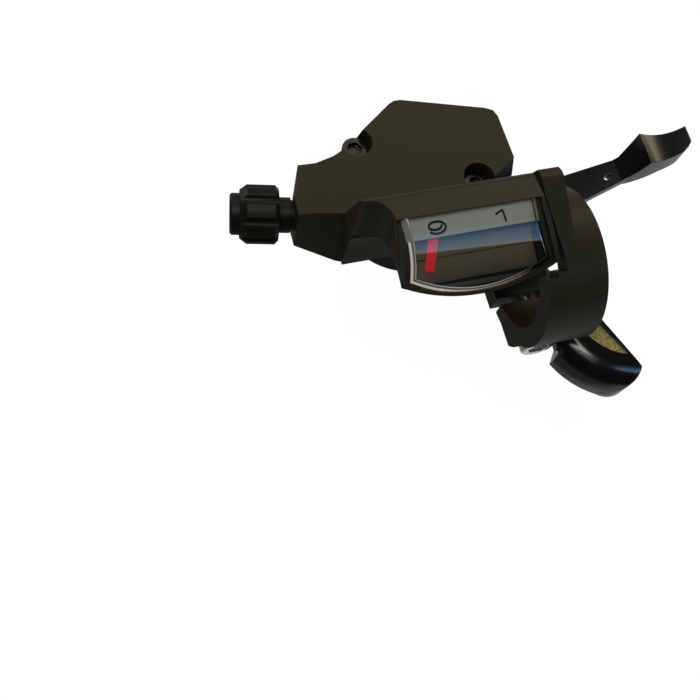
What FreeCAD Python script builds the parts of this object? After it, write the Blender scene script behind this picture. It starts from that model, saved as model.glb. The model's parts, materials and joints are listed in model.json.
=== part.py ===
import FreeCAD, Part
import math
import os
import Sketcher
from FreeCAD import Vector

# Right-hand trigger gear shifter for a 22.2 mm handlebar, in millimetres.
# The origin is on the bar's axis in the middle of the clamp band. X runs along the bar, outboard;
# Y points forward, away from the rider; Z is up, square to the flat cover plate.

SIZES = {
    # Handlebar clamp
    "bar_radius": 11.1,
    "band_wall": 4.1,
    "band_half": 6.0,
    "boss_out": 0.4,
    "boss_crest_y": 9.6,
    "boss_crest_over": 1.4,
    "boss_rear_y": -4.6,
    "end_gap": 0.7,
    "crescent_top": 121.0,
    "crescent_low": 312.0,
    "ear_half": 4.8,
    "ear_rear": 9.0,
    "ear_front": 3.2,
    "ear_deep": 6.1,
    "ear_lean": 198.0,
    "tab_in": -6.4,
    "tab_out": 4.4,
    "slit_mid": -1.4,
    "slit_width": 1.5,
    "bolt_deep": 2.8,
    "bolt_radius": 2.0,
    "bolt_head_radius": 3.7,
    "bolt_head_tall": 3.3,
    "bolt_socket": 4.0,
    "lug_in": -3.4,
    "lug_out": 4.2,
    "lug_top": -2.5,
    "lug_wall": 2.4,
    # Cover plate and barrel block, seen from above, with Y from the axle
    "plate_top": 4.9,
    "plate_bevel": 1.5,
    "bevel_drop": 6.5,
    "body_floor": -8.0,
    "block_end": -46.0,
    "block_rear": -7.4,
    "block_front": 3.1,
    "block_skew": 2.2,
    "shoulder_x": -40.2,
    "shoulder_y": 3.0,
    "slant_x": -34.3,
    "slant_y": 5.0,
    "peak_x": -20.6,
    "peak_y": 14.7,
    "front_out_x": -1.0,
    "front_out_y": 10.0,
    "chin_x": -0.1,
    "chin_y": -2.3,
    "heel_x": -7.0,
    "heel_y": -7.0,
    # Display pod, seen along the bar, with heights over the bar's channel
    "bar_clear": 0.5,
    "pod_floor": 0.8,
    "pod_wrap": 125.0,
    "pod_wall": 1.7,
    "foot_ahead": 4.65,
    "ridge_y": 11.4,
    "ridge_rise": 7.0,
    "ridge_round": 2.2,
    "brow_y": 5.8,
    "brow_rise": 7.9,
    "window_tilt": 30.6,
    "window_crown": 26.0,
    "window_chord": 12.0,
    "window_reach": 16.0,
    "pod_end": -4.6,
    "pod_in": -37.4,
    "scoop_x": -32.7,
    "scoop_y": 10.9,
    "scoop_round": 4.5,
    "flank_x": -38.5,
    "flank_ahead": 1.1,
    # Lens, strip, dial and needle
    "lens_left": -32.0,
    "lens_right": -5.7,
    "lens_flare": 1.9,
    "lens_drop": 11.7,
    "lens_arc": 33.0,
    "lens_thick": 1.2,
    "lens_bevel": 40.0,
    "lens_fit": 0.08,
    "lens_ledge": 0.7,
    "rim": 0.6,
    "strip_top": 0.2,
    "strip_deep": 4.2,
    "strip_thick": 0.25,
    "strip_gap": 0.1,
    "dial_depth": 2.9,
    "dial_thick": 0.3,
    "dial_top": 3.3,
    "dial_drop": 8.0,
    "needle_rest": 17.0,
    "needle_wide": 1.8,
    "needle_short": 0.97,
    "needle_under": 2.46,
    "needle_thick": 0.45,
    "needle_slope": 0.51,
    "crest_radius": 20.4,
    "knee_radius": 12.2,
    "knee_z": 5.4,
    "arm_low": 1.3,
    "arm_thick": 0.8,
    "arm_hub": 5.0,
    # Main axle and the layers on it
    "axle_x": -19.0,
    "axle_ahead": 13.4,
    "axle_radius": 3.0,
    "axle_flange": 4.4,
    "axle_flange_thick": 0.5,
    "axle_socket": 1.0,
    "turn_fit": 0.05,
    "roof": 2.0,
    "cavity_radius": 10.0,
    "roof_cavity": 8.2,
    "spool_top": 0.4,
    "spool_bottom": -4.4,
    "spool_flange": 9.6,
    "groove_radius": 8.4,
    "groove_z": -2.1,
    "groove_half": 0.9,
    "bush_wall": 0.55,
    "spring_recess_in": 4.6,
    "spring_recess_out": 8.0,
    "spring_recess_deep": 1.3,
    "spring_wire": 0.5,
    "spring_outer": 7.3,
    "spring_inner": 5.5,
    "lever_wire": 0.8,
    "lever_spring_in": 5.2,
    "lever_spring_out": 7.8,
    "wheel_bottom": -6.2,
    "wheel_tip": 6.6,
    "wheel_root": 5.5,
    "wheel_teeth": 22.0,
    "pawl_pin_at": 8.3,
    "pawl_pin_radius": 0.7,
    "pawl_boss": 1.35,
    "pawl_top": -4.8,
    "hold_pawl_turn": 20.0,
    "drive_pawl_turn": 200.0,
    "carrier_disc": 1.6,
    "carrier_root": 2.4,
    "carrier_end": 1.6,
    "carrier_top": -6.5,
    "carrier_bottom": -7.7,
    "sleeve_wall": 0.55,
    "base_thick": 1.6,
    "layer_gap": 0.4,
    # Screws, with Y from the axle
    "screw_one_x": -31.0,
    "screw_one_y": 6.4,
    "screw_two_x": -8.6,
    "screw_two_y": -5.5,
    "recess_radius": 3.2,
    "recess_floor": 0.9,
    "screw_head": 2.6,
    "screw_head_tall": 1.6,
    "screw_radius": 1.25,
    "screw_fit": 0.05,
    "lug_screw_radius": 1.5,
    "lug_screw_head": 2.6,
    "lug_screw_deep": 4.6,
    # Lower cover
    "cup_radius": 14.6,
    "cup_wall": 1.4,
    "cup_floor": 1.2,
    "cup_deep": 5.8,
    "cup_screw_at": 11.6,
    "cup_screw_turn": 120.0,
    "cup_boss": 2.2,
    "cup_head": 1.9,
    "cup_head_tall": 1.0,
    "cup_screw_radius": 1.0,
    # Release lever, with Y from the axle
    "release_thick": 1.8,
    "release_hub": 6.4,
    "release_bend_x": 6.0,
    "release_front": -2.3,
    "release_rear_in": -8.6,
    "release_rear_mid": -9.6,
    "release_rear_out": -7.6,
    "release_rise_x": 25.5,
    "release_rise": 7.0,
    "release_hole_x": 23.4,
    "release_hole_y": -5.7,
    "release_hole": 0.7,
    "web_hollow": 20.0,
    "pad_step_x": 29.6,
    "pad_step_z": 3.6,
    "pad_hollow": 17.0,
    "pad_tip_x": 39.7,
    "pad_tip_z": 5.9,
    "pad_tip_round": 3.0,
    "pad_low_x": 33.4,
    "pad_low_z": -0.9,
    "pad_low_round": 12.0,
    "pad_front": -0.6,
    "pad_rear": -7.2,
    "pad_rear_round": 30.0,
    "pad_thick": 2.9,
    # Thumb lever
    "thumb_thick": 2.0,
    "thumb_hub": 7.5,
    "thumb_neck_x": 7.9,
    "thumb_neck_y": 8.6,
    "thumb_inner_x": 5.0,
    "thumb_inner_y": 4.2,
    "blade_top": -13.0,
    "blade_bottom": -21.0,
    "blade_start_x": 11.1,
    "blade_start_y": 1.4,
    "blade_clear_x": 6.7,
    "blade_tip_x": 20.7,
    "blade_tip_y": -20.8,
    "blade_heel_y": -11.0,
    "blade_centre_x": 22.0,
    "blade_centre_y": -6.0,
    "blade_near_arc": 19.3,
    "blade_near_from": 205.0,
    "blade_near_to": 240.0,
    "blade_nose_arc": 5.3,
    "blade_sunk_to": 254.0,
    "blade_round": 6.2,
    "blade_round_from": 162.0,
    "blade_round_over": 113.0,
    "blade_sink": 0.7,
    "blade_rim": 1.0,
    "washer_thick": 0.5,
    "washer_radius": 5.4,
    "axle_nut_flats": 8.0,
    "axle_nut_thick": 2.6,
    # Barrel adjuster, with Y from the axle
    "barrel_z": -2.1,
    "barrel_y": -3.7,
    "barrel_turn": 11.8,
    "barrel_stem": 3.0,
    "barrel_stem_long": 9.0,
    "barrel_neck": 3.5,
    "barrel_start": 2.7,
    "barrel_long": 7.6,
    "barrel_radius": 5.8,
    "barrel_chamfer": 0.7,
    "barrel_ridges": 8.0,
    "barrel_groove": 1.0,
    "collar_radius": 4.1,
    "collar_long": 1.9,
    "casing_radius": 2.6,
    "casing_deep": 6.0,
    "cable_radius": 1.0,
}

HEX_CORNER = 1 / math.sqrt(3)
FULL_TURN = 360

doc = FreeCAD.newDocument("gear_shifter")
sheet = doc.addObject("Spreadsheet::Sheet", "Sizes")
for row, (alias, number) in enumerate(SIZES.items(), start=1):
    sheet.set("A%d" % row, alias)
    sheet.set("B%d" % row, str(number))
    sheet.setAlias("B%d" % row, alias)
doc.recompute()


class Size:
    """A size as its number, with the sheet formula that gives it."""

    def __init__(self, value, formula):
        self.value = value
        self.formula = formula

    def __add__(self, other):
        other = size(other)
        return Size(self.value + other.value, "(%s + %s)" % (self.formula, other.formula))

    def __sub__(self, other):
        other = size(other)
        return Size(self.value - other.value, "(%s - %s)" % (self.formula, other.formula))

    def __rsub__(self, other):
        return size(other) - self

    def __mul__(self, other):
        other = size(other)
        return Size(self.value * other.value, "(%s * %s)" % (self.formula, other.formula))

    def __truediv__(self, other):
        other = size(other)
        return Size(self.value / other.value, "(%s / %s)" % (self.formula, other.formula))

    def __neg__(self):
        return Size(-self.value, "(0 - %s)" % self.formula)

    __radd__ = __add__
    __rmul__ = __mul__


def size(number):
    """Any plain number as a size."""
    if isinstance(number, Size):
        return number
    return Size(float(number), "(%.6f)" % number)


def cosine(angle):
    return Size(math.cos(math.radians(angle.value)), "cos(%s)" % angle.formula)


def sine(angle):
    return Size(math.sin(math.radians(angle.value)), "sin(%s)" % angle.formula)


def root(square):
    return Size(math.sqrt(square.value), "sqrt(%s)" % square.formula)


class Sheet:
    """The sheet's cells by name."""

    def __getattr__(self, alias):
        return Size(SIZES[alias], "Sizes.%s" % alias)


S = Sheet()
NODES = []


def bind(thing, path, amount):
    """Tie a property of a document object to the sheet."""
    thing.setExpression(path, size(amount).formula)


def node(thing, label):
    """Mark a finished document object as one piece of the shifter."""
    thing.Label = label
    NODES.append(thing)
    return thing


def new_body(name):
    return doc.addObject("PartDesign::Body", name)


def place(thing, x=0, y=0, z=0, axis=Vector(0, 0, 1), turn=0):
    """Put an object at a point, turned about an axis by an angle in degrees."""
    rotation = FreeCAD.Rotation(axis, size(turn).value)
    thing.Placement = FreeCAD.Placement(Vector(size(x).value, size(y).value, size(z).value), rotation)
    bind(thing, "Placement.Base.x", x)
    bind(thing, "Placement.Base.y", y)
    bind(thing, "Placement.Base.z", z)
    bind(thing, "Placement.Rotation.Angle", turn)
    return thing


# Outlines: a loop is a circle (u, v, radius) or a list of corners; a corner may carry the radius of the
# arc that leads on to the next corner, which bulges out of an outline drawn anticlockwise, or into it
# where the radius is given as a dent.

class Dent:
    def __init__(self, radius):
        self.radius = radius


def arc_between(start, end, radius, bulges_out):
    """The arc of the given radius between two points, and whether it starts at the first one."""
    chord = end - start
    middle = (start + end) * 0.5
    left = Vector(-chord.y, chord.x, 0).normalize()
    reach = math.sqrt(max(radius ** 2 - (chord.Length / 2) ** 2, 0.0))
    centre = middle + left * (reach if bulges_out else -reach)
    first, last = (start, end) if bulges_out else (end, start)
    low = math.atan2(first.y - centre.y, first.x - centre.x)
    high = math.atan2(last.y - centre.y, last.x - centre.x)
    return Part.ArcOfCircle(Part.Circle(centre, Vector(0, 0, 1), radius), low, high)


def constrain(sketch, kind, *items):
    """Add a constraint whose last item is a size of the sheet."""
    *place_on, amount = items
    index = sketch.addConstraint(Sketcher.Constraint(kind, *place_on, amount.value))
    bind(sketch, "Constraints[%d]" % index, amount)


def draw_circle(sketch, u, v, radius):
    index = sketch.addGeometry(Part.Circle(Vector(u.value, v.value, 0), Vector(0, 0, 1), radius.value), False)
    constrain(sketch, "DistanceX", -1, 1, index, 3, u)
    constrain(sketch, "DistanceY", -1, 1, index, 3, v)
    constrain(sketch, "Radius", index, radius)


def draw_outline(sketch, corners):
    ends = []
    for corner, following in zip(corners, corners[1:] + corners[:1]):
        start = Vector(size(corner[0]).value, size(corner[1]).value, 0)
        end = Vector(size(following[0]).value, size(following[1]).value, 0)
        if len(corner) == 2:
            index = sketch.addGeometry(Part.LineSegment(start, end), False)
            ends.append((index, 1, 2))
            continue
        bulges_out = not isinstance(corner[2], Dent)
        radius = size(corner[2] if bulges_out else corner[2].radius)
        index = sketch.addGeometry(arc_between(start, end, radius.value, bulges_out), False)
        ends.append((index, 1, 2) if bulges_out else (index, 2, 1))
        constrain(sketch, "Radius", index, radius)
    for (index, start_at, end_at), (following, following_start, _), corner in zip(
            ends, ends[1:] + ends[:1], corners):
        sketch.addConstraint(Sketcher.Constraint("Coincident", index, end_at, following, following_start))
        constrain(sketch, "DistanceX", -1, 1, index, start_at, size(corner[0]))
        constrain(sketch, "DistanceY", -1, 1, index, start_at, size(corner[1]))


def sketch_on(body, plane, offset, loops):
    """A sketch on one of a body's own planes, moved along the plane's normal."""
    sketch = body.newObject("Sketcher::SketchObject", "outline")
    support = next(f for f in body.Origin.OriginFeatures if f.Role == plane + "_Plane")
    sketch.AttachmentSupport = (support, [""])
    sketch.MapMode = "FlatFace"
    sketch.AttachmentOffset = FreeCAD.Placement(Vector(0, 0, size(offset).value), FreeCAD.Rotation())
    bind(sketch, "AttachmentOffset.Base.z", offset)
    for loop in loops:
        if isinstance(loop, tuple):
            draw_circle(sketch, *(size(number) for number in loop))
        else:
            draw_outline(sketch, loop)
    return sketch


# The normal of a sketch on the XZ plane points to -Y, so its offsets are turned round.

def add(body, plane, low, high, *loops, taper=None):
    """Fill outlines between two levels along the plane's axis."""
    offset = -size(high) if plane == "XZ" else low
    sketch = sketch_on(body, plane, offset, loops)
    feature = body.newObject("PartDesign::Pad", "pad")
    feature.Profile = sketch
    feature.Length = (size(high) - low).value
    bind(feature, "Length", size(high) - low)
    if taper is not None:
        feature.TaperAngle = size(taper).value
        bind(feature, "TaperAngle", taper)
    return feature


def cut(body, plane, low, high, *loops):
    """Cut outlines out of a body between two levels along the plane's axis."""
    offset = -size(low) if plane == "XZ" else high
    sketch = sketch_on(body, plane, offset, loops)
    feature = body.newObject("PartDesign::Pocket", "pocket")
    feature.Profile = sketch
    feature.Length = (size(high) - low).value
    bind(feature, "Length", size(high) - low)
    return feature


def turn(body, corners, angle=FULL_TURN):
    """Turn a half-profile of (radius, height) corners about the body's Z axis."""
    sketch = sketch_on(body, "XZ", 0, [corners])
    feature = body.newObject("PartDesign::Revolution", "turning")
    feature.Profile = sketch
    feature.ReferenceAxis = (sketch, ["V_Axis"])
    feature.Angle = size(angle).value
    bind(feature, "Angle", angle)
    return feature


def turn_lying(body, corners):
    """Turn a half-profile of (distance, radius) corners about the body's X axis, pointing inboard."""
    sketch = sketch_on(body, "XY", 0, [[(-size(distance), radius) for distance, radius in corners]])
    feature = body.newObject("PartDesign::Revolution", "turning")
    feature.Profile = sketch
    feature.ReferenceAxis = (sketch, ["H_Axis"])
    feature.Angle = FULL_TURN
    return feature


def around(body, feature, count, role="Z_Axis"):
    """Repeat a feature evenly about one of the body's own axes."""
    pattern = body.newObject("PartDesign::PolarPattern", "pattern")
    pattern.Originals = [feature]
    axis = next(f for f in body.Origin.OriginFeatures if f.Role == role)
    pattern.Axis = (axis, [""])
    pattern.Angle = FULL_TURN
    pattern.Occurrences = int(round(count.value))
    bind(pattern, "Occurrences", count)
    body.Tip = pattern
    return pattern


def soften(body, kind, amount, wanted):
    """Fillet or chamfer the edges of a body's last feature for which wanted(edge) is true."""
    doc.recompute()
    base = body.Tip
    names = ["Edge%d" % (i + 1) for i, edge in enumerate(base.Shape.Edges) if wanted(edge)]
    feature = body.newObject("PartDesign::" + kind, kind.lower())
    feature.Base = (base, names)
    if kind == "Fillet":
        feature.Radius = amount.value
        bind(feature, "Radius", amount)
        return feature
    feature.Size = amount.value
    bind(feature, "Size", amount)
    return feature


def boolean(kind, first, second):
    """Part's own cut, fuse or common of two objects."""
    result = doc.addObject("Part::" + kind, kind.lower())
    result.Base = first
    result.Tool = second
    return result


def fuse(*parts):
    result = doc.addObject("Part::MultiFuse", "fuse")
    result.Shapes = list(parts)
    return result


def group(label, parts):
    result = doc.addObject("Part::Compound", label)
    result.Links = list(parts)
    return node(result, label)


def box(left, right, rear, front):
    """The four corners of an upright box's plan, anticlockwise."""
    return [(left, rear), (right, rear), (right, front), (left, front)]


def hexagon(flats):
    """A hexagon's corners about the sketch's origin, from its size across flats."""
    corner = flats * HEX_CORNER
    half = flats / 2
    return [(corner, 0), (corner / 2, half), (-corner / 2, half), (-corner, 0),
            (-corner / 2, -half), (corner / 2, -half)]


# Levels and radii shared by the pieces
ROOF = S.plate_top - S.roof
CHANNEL = S.bar_radius + S.bar_clear
POD_FLOOR = CHANNEL + S.pod_floor
POD_FOOT = CHANNEL + S.foot_ahead
FLANK_Y = CHANNEL + S.flank_ahead
RIDGE_Z = CHANNEL + S.ridge_rise
BROW_Z = CHANNEL + S.brow_rise
AXLE_Y = CHANNEL + S.axle_ahead
BASE_TOP = S.body_floor
BASE_BOTTOM = BASE_TOP - S.base_thick
RELEASE_TOP = BASE_BOTTOM - S.layer_gap
RELEASE_BOTTOM = RELEASE_TOP - S.release_thick
CUP_BOTTOM = BASE_BOTTOM - S.cup_deep
THUMB_TOP = CUP_BOTTOM - S.layer_gap
THUMB_BOTTOM = THUMB_TOP - S.thumb_thick
WASHER_BOTTOM = THUMB_BOTTOM - S.turn_fit - S.washer_thick
NUT_BOTTOM = WASHER_BOTTOM - S.axle_nut_thick
TURN_RADIUS = S.axle_radius + S.turn_fit
BUSH_RADIUS = TURN_RADIUS + S.bush_wall
SLEEVE_RADIUS = TURN_RADIUS + S.sleeve_wall
RING_RADIUS = S.bar_radius + S.band_wall
RING_FRONT = root(RING_RADIUS * RING_RADIUS - BASE_TOP * BASE_TOP) + 0.5
LUG_SCREW_Y = RING_FRONT + S.lug_screw_head + 0.3
LUG_FRONT = LUG_SCREW_Y + S.lug_wall
BOLT_Z = -S.bar_radius - S.bolt_deep
EAR_LOW = -S.bar_radius - S.ear_deep
COS_TILT = cosine(S.window_tilt)
SIN_TILT = sine(S.window_tilt)
WINDOW_FALL = S.window_reach * (S.window_reach - S.window_chord) / S.window_crown / 2
FAR = 60


def ahead(distance):
    """A place along Y, by its distance in front of the axle."""
    return AXLE_Y + distance


def on_circle(radius, angle):
    """A point of a circle about the bar's axis, seen along the bar."""
    return radius * cosine(angle), radius * sine(angle)


def in_window(drop, depth):
    """A point of the pod's section, by its way down the window and its depth under the window's plane."""
    return (S.brow_y - drop * COS_TILT + depth * SIN_TILT,
            BROW_Z - drop * SIN_TILT - depth * COS_TILT)


def lens_outline(grow, top):
    """The lens seen square to its plane, grown all round, up to a height over the brow."""
    grow = size(grow)
    return [(S.lens_left - grow, top),
            (S.lens_left - grow, -S.lens_drop - grow, S.lens_arc + grow),
            (S.lens_right + S.lens_flare + grow, -S.lens_drop - grow),
            (S.lens_right + grow, grow),
            (S.lens_right + grow, top)]


def window_tool(outline, low, high, taper=None):
    """A block cut square to the window's plane, between two heights over that plane."""
    body = new_body("window_tool")
    if taper is None:
        add(body, "XY", low, high, outline)
    else:
        add(body, "XY", low, high, outline, taper=taper)
    return place(body, 0, S.brow_y, BROW_Z, Vector(1, 0, 0), S.window_tilt)


def crown_band(depth, thick, left, right):
    """A slab along the bar that follows the window's crown, from a depth under it upwards."""
    body = new_body("crown_band")
    inner = S.window_crown - depth
    add(body, "YZ", left, right,
        [in_window(0, depth),
         (*in_window(0, depth - thick), inner + thick),
         in_window(S.window_reach, WINDOW_FALL + depth - thick),
         (*in_window(S.window_reach, WINDOW_FALL + depth), Dent(inner))])
    return body


def make_pod():
    """The display pod: a bar-hugging section run along the bar, with a bowed rear edge and a scooped end."""
    rear = in_window(S.window_reach, WINDOW_FALL)
    pod = new_body("pod_run")
    add(pod, "YZ", S.pod_in, S.pod_end + S.lens_flare,
        [(CHANNEL, S.body_floor),
         (POD_FOOT, S.body_floor),
         (POD_FOOT, S.plate_top),
         (S.ridge_y, RIDGE_Z),
         (S.brow_y, BROW_Z, S.window_crown),
         rear,
         (*on_circle(CHANNEL, S.pod_wrap), Dent(CHANNEL)),
         (CHANNEL, 0)])
    soften(pod, "Fillet", S.ridge_round, lambda e: is_along(e, "x") and near(e, None, S.ridge_y, RIDGE_Z))
    corner = S.scoop_round
    cut(pod, "XY", S.plate_top, FAR,
        [(-FAR, -FAR),
         (S.scoop_x, -FAR),
         (S.scoop_x, S.scoop_y - corner, corner),
         (S.scoop_x - corner, S.scoop_y),
         (-FAR, S.scoop_y)])
    trim = window_tool([(-FAR, FAR),
                        (-FAR, -S.lens_drop - S.rim),
                        (S.lens_left - S.rim, -S.lens_drop - S.rim, S.lens_arc + S.rim),
                        (S.lens_right + S.lens_flare + S.rim, -S.lens_drop - S.rim),
                        (S.pod_end + S.lens_flare, -S.lens_drop - S.rim),
                        (S.pod_end, 0),
                        (S.pod_end, FAR)], -FAR, FAR)
    under_flare = window_tool(box(S.pod_end, FAR, -FAR, FAR), -FAR, -CHANNEL)
    return boolean("Cut", boolean("Common", pod, trim), under_flare)


def is_along(edge, axis):
    """Whether an edge is straight and runs along an axis."""
    if edge.Curve.TypeId != "Part::GeomLine":
        return False
    way = edge.tangentAt(edge.FirstParameter)
    return abs(getattr(way, axis)) > 0.9999


def near(edge, x, y, z):
    """Whether an edge's middle is at the coordinates given."""
    middle = edge.CenterOfMass
    wanted = zip((middle.x, middle.y, middle.z), (x, y, z))
    return all(there is None or abs(here - size(there).value) < 0.05 for here, there in wanted)


def make_plate():
    """The flat cover plate with the barrel block, its free edges sloping out downwards."""
    block_front_x = S.block_end + S.block_skew
    # Each corner of the top with the way its wall leans
    corners = [(S.block_end, ahead(S.block_rear), 0, 0),
               (S.heel_x, ahead(S.heel_y) - 3, 0, 0),
               (S.heel_x, ahead(S.heel_y), 0, 0),
               (S.chin_x, ahead(S.chin_y), 1, -0.3),
               (S.front_out_x + 0.6, ahead(S.front_out_y) - 2.4, 1, 0.05),
               (S.front_out_x, ahead(S.front_out_y) - 0.8, 0.8, 0.7),
               (S.front_out_x - 1.6, ahead(S.front_out_y), 0.25, 0.97),
               (S.peak_x + 1, ahead(S.peak_y) - 0.1, 0.25, 0.97),
               (S.peak_x - 0.4, ahead(S.peak_y) - 0.1, -0.25, 0.97),
               (S.peak_x - 1.6, ahead(S.peak_y) - 0.7, -0.6, 0.8),
               (S.slant_x, ahead(S.slant_y), -0.6, 0.8),
               (S.slant_x - 2, ahead(S.slant_y) - 1, -0.4, 0.9),
               (S.shoulder_x, ahead(S.shoulder_y), 0, 0),
               (block_front_x, ahead(S.block_front), 0, 0)]
    top = [(x, y) for x, y, _, _ in corners]
    foot = [(x + S.plate_bevel * lean_x, y + S.plate_bevel * lean_y) for x, y, lean_x, lean_y in corners]
    plate = new_body("plate")
    skirt = S.plate_top - S.bevel_drop
    add(plate, "XY", S.body_floor, skirt, foot)
    loft = plate.newObject("PartDesign::AdditiveLoft", "loft")
    loft.Profile = sketch_on(plate, "XY", skirt, [foot])
    loft.Sections = [sketch_on(plate, "XY", S.plate_top, [top])]
    loft.Ruled = True
    return plate


def make_flank():
    """The sloping rear wall that leads from the barrel block to the bar."""
    flank = new_body("flank")
    inside = S.pod_in + 5
    back = ahead(S.block_rear) + 4
    high = sketch_on(flank, "XY", S.plate_top,
                     [[(S.block_end, ahead(S.block_rear)),
                       ((S.block_end + S.pod_in) / 2, ahead(S.block_rear) - 0.5),
                       (S.pod_in, POD_FOOT),
                       (inside, POD_FOOT),
                       (inside, back),
                       (S.block_end, back)]])
    low = sketch_on(flank, "XY", S.body_floor,
                    [[(S.block_end, ahead(S.block_rear)),
                      (S.flank_x, FLANK_Y),
                      (S.pod_in + 2, CHANNEL),
                      (inside, CHANNEL),
                      (inside, back),
                      (S.block_end, back)]])
    loft = flank.newObject("PartDesign::AdditiveLoft", "loft")
    loft.Profile = low
    loft.Sections = [high]
    loft.Ruled = True
    return flank


def make_housing():
    """The moulded housing: cover plate, barrel block and display pod, hollow for the mechanism and the dial."""
    solid = fuse(make_plate(), make_flank(), make_pod())
    inside = new_body("mechanism_space")
    add(inside, "XY", S.body_floor - 1, S.spool_top + 0.3, (S.axle_x, AXLE_Y, S.cavity_radius))
    add(inside, "XY", S.spool_top - 0.5, ROOF, (S.axle_x, AXLE_Y, S.roof_cavity))
    add(inside, "XY", ROOF - 0.5, ROOF + S.axle_socket, (S.axle_x, AXLE_Y, TURN_RADIUS))
    swing = S.knee_radius * sine(S.needle_rest) + S.needle_wide * 2
    add(inside, "XY", S.arm_low - 0.4, ROOF,
        box(S.axle_x - swing, S.axle_x + swing, AXLE_Y - S.knee_radius - 0.6, AXLE_Y - S.roof_cavity + 2))
    for x, y in ((S.screw_one_x, ahead(S.screw_one_y)), (S.screw_two_x, ahead(S.screw_two_y))):
        hole = new_body("screw_way")
        add(hole, "XY", S.recess_floor, FAR, (x, y, S.recess_radius))
        add(hole, "XY", S.body_floor - 1, S.recess_floor + 1, (x, y, S.screw_radius + S.screw_fit))
        solid = boolean("Cut", solid, hole)
    solid = boolean("Cut", solid, inside)
    dial = new_body("dial_space")
    neck_rear = POD_FLOOR
    neck_front = POD_FOOT - S.pod_wall
    add(dial, "YZ", S.lens_left + S.lens_ledge, S.lens_right - S.lens_ledge,
        [(neck_rear, S.arm_low - 0.4),
         (neck_front, S.arm_low - 0.4),
         (neck_front, S.plate_top),
         (S.ridge_y - S.pod_wall, RIDGE_Z - S.pod_wall),
         in_window(0.4, 0.2),
         in_window(S.lens_drop, 0.2),
         (*on_circle(POD_FLOOR, S.pod_wrap - 15), Dent(POD_FLOOR)),
         (neck_rear, 0)])
    solid = boolean("Cut", solid, dial)
    seat = boolean("Common", window_tool(lens_outline(S.lens_fit, 1), -FAR / 4, FAR / 4),
                   crown_band(S.lens_thick, FAR / 4, S.lens_left - 1, S.lens_right + S.lens_flare + 1))
    solid = boolean("Cut", solid, seat)
    barrel = new_body("barrel_way")
    bore = S.barrel_stem + S.turn_fit
    bottom = -S.barrel_stem_long - 0.3
    turn_lying(barrel, [(S.barrel_long, 0), (S.barrel_long, bore), (bottom, bore), (bottom, 0)])
    cable = new_body("cable_way")
    turn_lying(cable, [(0, 0), (0, S.cable_radius), (S.block_end - S.axle_x, S.cable_radius),
                       (S.block_end - S.axle_x, 0)])
    for tool in (barrel, cable):
        solid = boolean("Cut", solid, along_barrel(tool))
    return node(solid, "housing")


def along_barrel(thing):
    """Lay a piece that was turned about X on the barrel's axis, pointing inboard out of the block."""
    return place(thing, S.block_end, ahead(S.barrel_y), S.barrel_z, turn=-S.barrel_turn)


def at_axle(thing, angle=0):
    """Put a piece that was made about the axle in its place, turned about it."""
    return place(thing, S.axle_x, AXLE_Y, 0, turn=angle)


def about_axle(radius, angle):
    """A point given by its distance and direction from the axle."""
    return S.axle_x + radius * cosine(angle), AXLE_Y + radius * sine(angle)


def make_base_plate(screw_space):
    """The steel base plate under the housing, which carries the axle, the hold pawl and the clamp lug."""
    plate = new_body("base")
    holes = [(S.axle_x, AXLE_Y, SLEEVE_RADIUS + S.turn_fit),
             (S.screw_one_x, ahead(S.screw_one_y), S.screw_radius + S.screw_fit),
             (S.screw_two_x, ahead(S.screw_two_y), S.screw_radius + S.screw_fit),
             (*about_axle(S.pawl_pin_at, S.hold_pawl_turn), S.pawl_pin_radius)]
    for angle in (S.cup_screw_turn, -S.cup_screw_turn):
        holes.append((*about_axle(S.cup_screw_at, angle), S.cup_screw_radius + S.screw_fit))
    add(plate, "XY", BASE_BOTTOM, BASE_TOP,
        [(S.block_end + 2.5, ahead(S.block_rear) + 1.5),
         (S.flank_x + 2.5, RING_FRONT),
         (S.lug_out, RING_FRONT),
         (S.lug_out, LUG_FRONT + 1),
         (S.chin_x + 0.6, ahead(S.chin_y)),
         (S.front_out_x + 0.6, ahead(S.front_out_y) - 1),
         (S.peak_x, ahead(S.peak_y) + 0.8),
         (S.slant_x - 0.6, ahead(S.slant_y) + 0.8),
         (S.shoulder_x - 1, ahead(S.shoulder_y) - 1.5)], *holes)
    return node(boolean("Cut", plate, screw_space), "base_plate")


def make_lower_cover():
    """The cup under the base plate that closes the lever layer, open outboard for the release lever."""
    cup = new_body("lower_cover")
    floor = CUP_BOTTOM + S.cup_floor
    add(cup, "XY", CUP_BOTTOM, BASE_BOTTOM, (S.axle_x, AXLE_Y, S.cup_radius))
    cut(cup, "XY", floor, BASE_BOTTOM, (S.axle_x, AXLE_Y, S.cup_radius - S.cup_wall))
    for angle in (S.cup_screw_turn, -S.cup_screw_turn):
        add(cup, "XY", CUP_BOTTOM, BASE_BOTTOM, (*about_axle(S.cup_screw_at, angle), S.cup_boss))
    for angle in (S.cup_screw_turn, -S.cup_screw_turn):
        where = about_axle(S.cup_screw_at, angle)
        cut(cup, "XY", CUP_BOTTOM - 1, CUP_BOTTOM + S.cup_head_tall, (*where, S.cup_head + S.screw_fit))
        cut(cup, "XY", CUP_BOTTOM, BASE_BOTTOM, (*where, S.cup_screw_radius + S.screw_fit))
    cut(cup, "XY", CUP_BOTTOM - 1, floor, (S.axle_x, AXLE_Y, SLEEVE_RADIUS + S.turn_fit))
    cut(cup, "XY", RELEASE_BOTTOM - S.layer_gap, BASE_BOTTOM,
        box(S.axle_x + S.release_hub + 1, S.axle_x + FAR, AXLE_Y - 13.4, AXLE_Y + 1.8))
    return node(cup, "lower_cover")


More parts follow.
